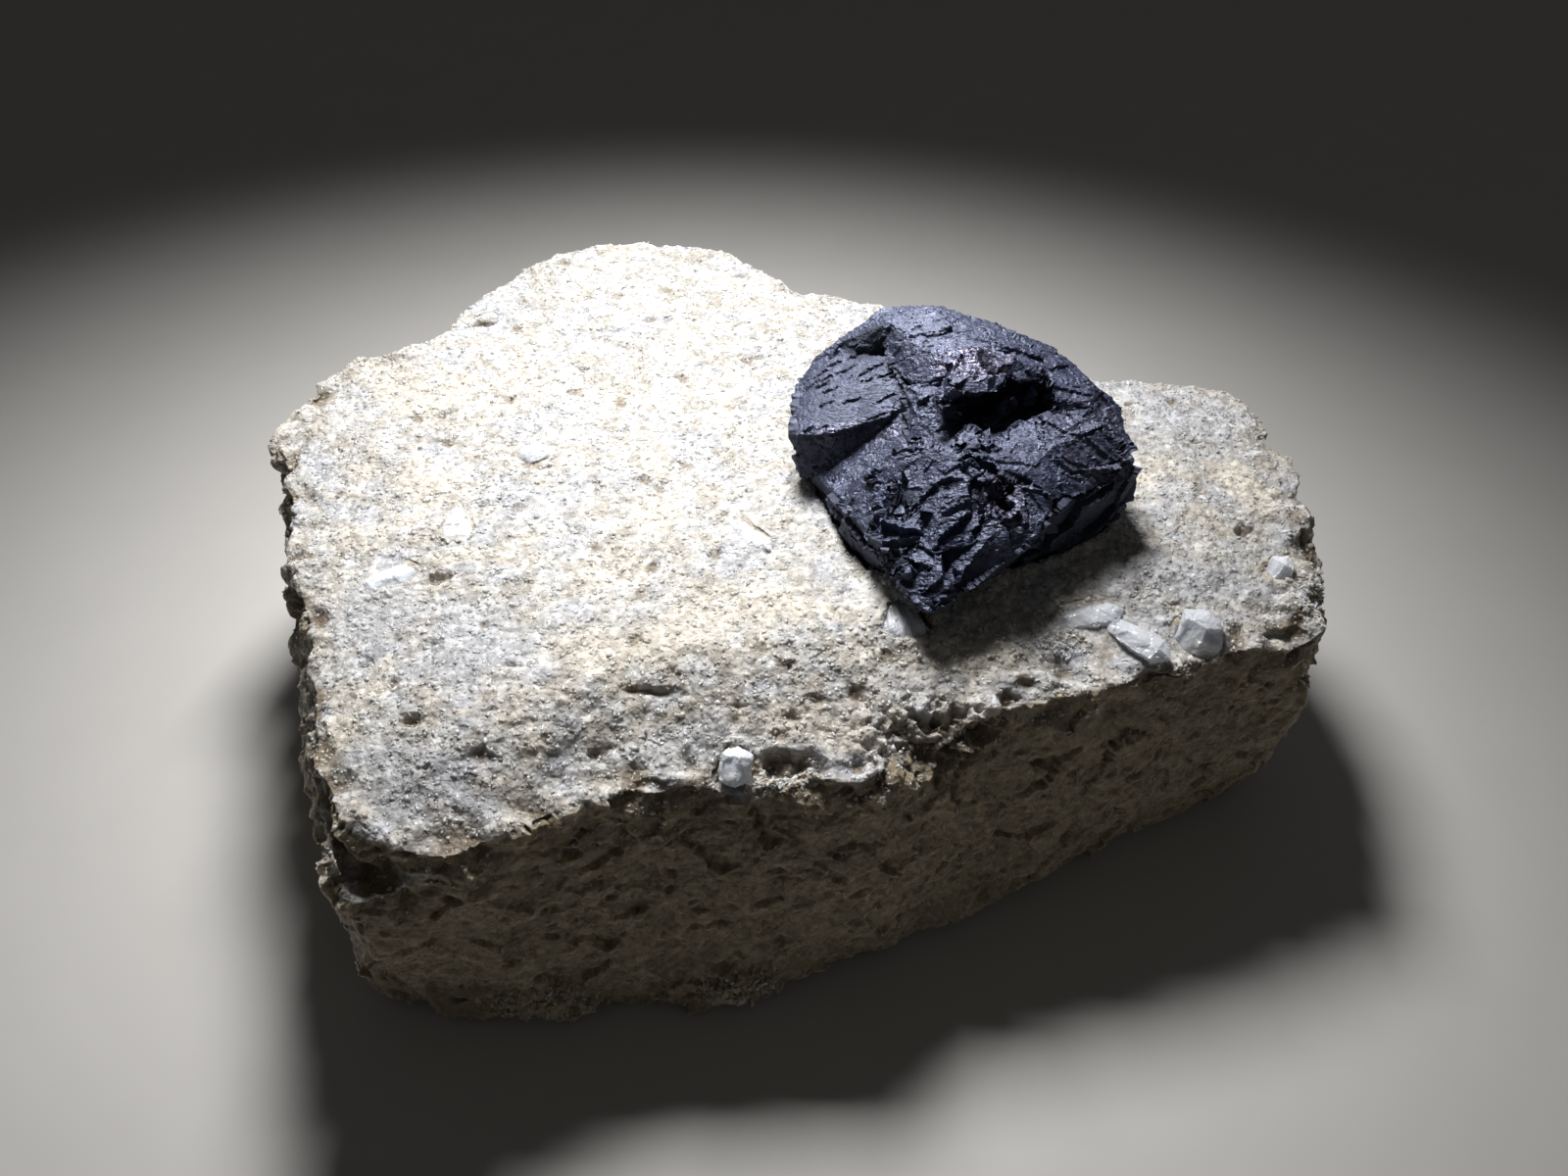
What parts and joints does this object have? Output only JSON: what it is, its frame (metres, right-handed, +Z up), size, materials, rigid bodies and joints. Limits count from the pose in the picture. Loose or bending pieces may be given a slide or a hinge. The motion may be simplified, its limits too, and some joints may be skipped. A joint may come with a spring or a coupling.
{
  "type": "sphalerite specimen",
  "caption": "Loose mineral specimen: a black stepped sphalerite crystal and small pale quartz crystals on a flat-based block of sugary grey rock.",
  "frame": {"origin": "on the base plane, under the middle of the specimen's bounding box", "axes": "+X along the longest side, +Z up, -Y towards the broken front face"},
  "size_m": [0.0986, 0.0856, 0.0433],
  "materials": {
    "rock": "rough broken granular rock",
    "sphalerite": "black, resinous to metallic cleavage faces",
    "quartz": "clear to milky crystal"
  },
  "bodies": {
    "root": {"host_rock": "rock", "sphalerite_crystal": "sphalerite", "quartz_fan": "quartz", "quartz_pair": "quartz", "quartz_barrel": "quartz", "quartz_splinter_centre": "quartz", "quartz_splinter_left": "quartz", "quartz_grain_left": "quartz", "quartz_grain_back": "quartz", "quartz_grain_front": "quartz", "quartz_knob_right": "quartz"}
  },
  "joints": []
}
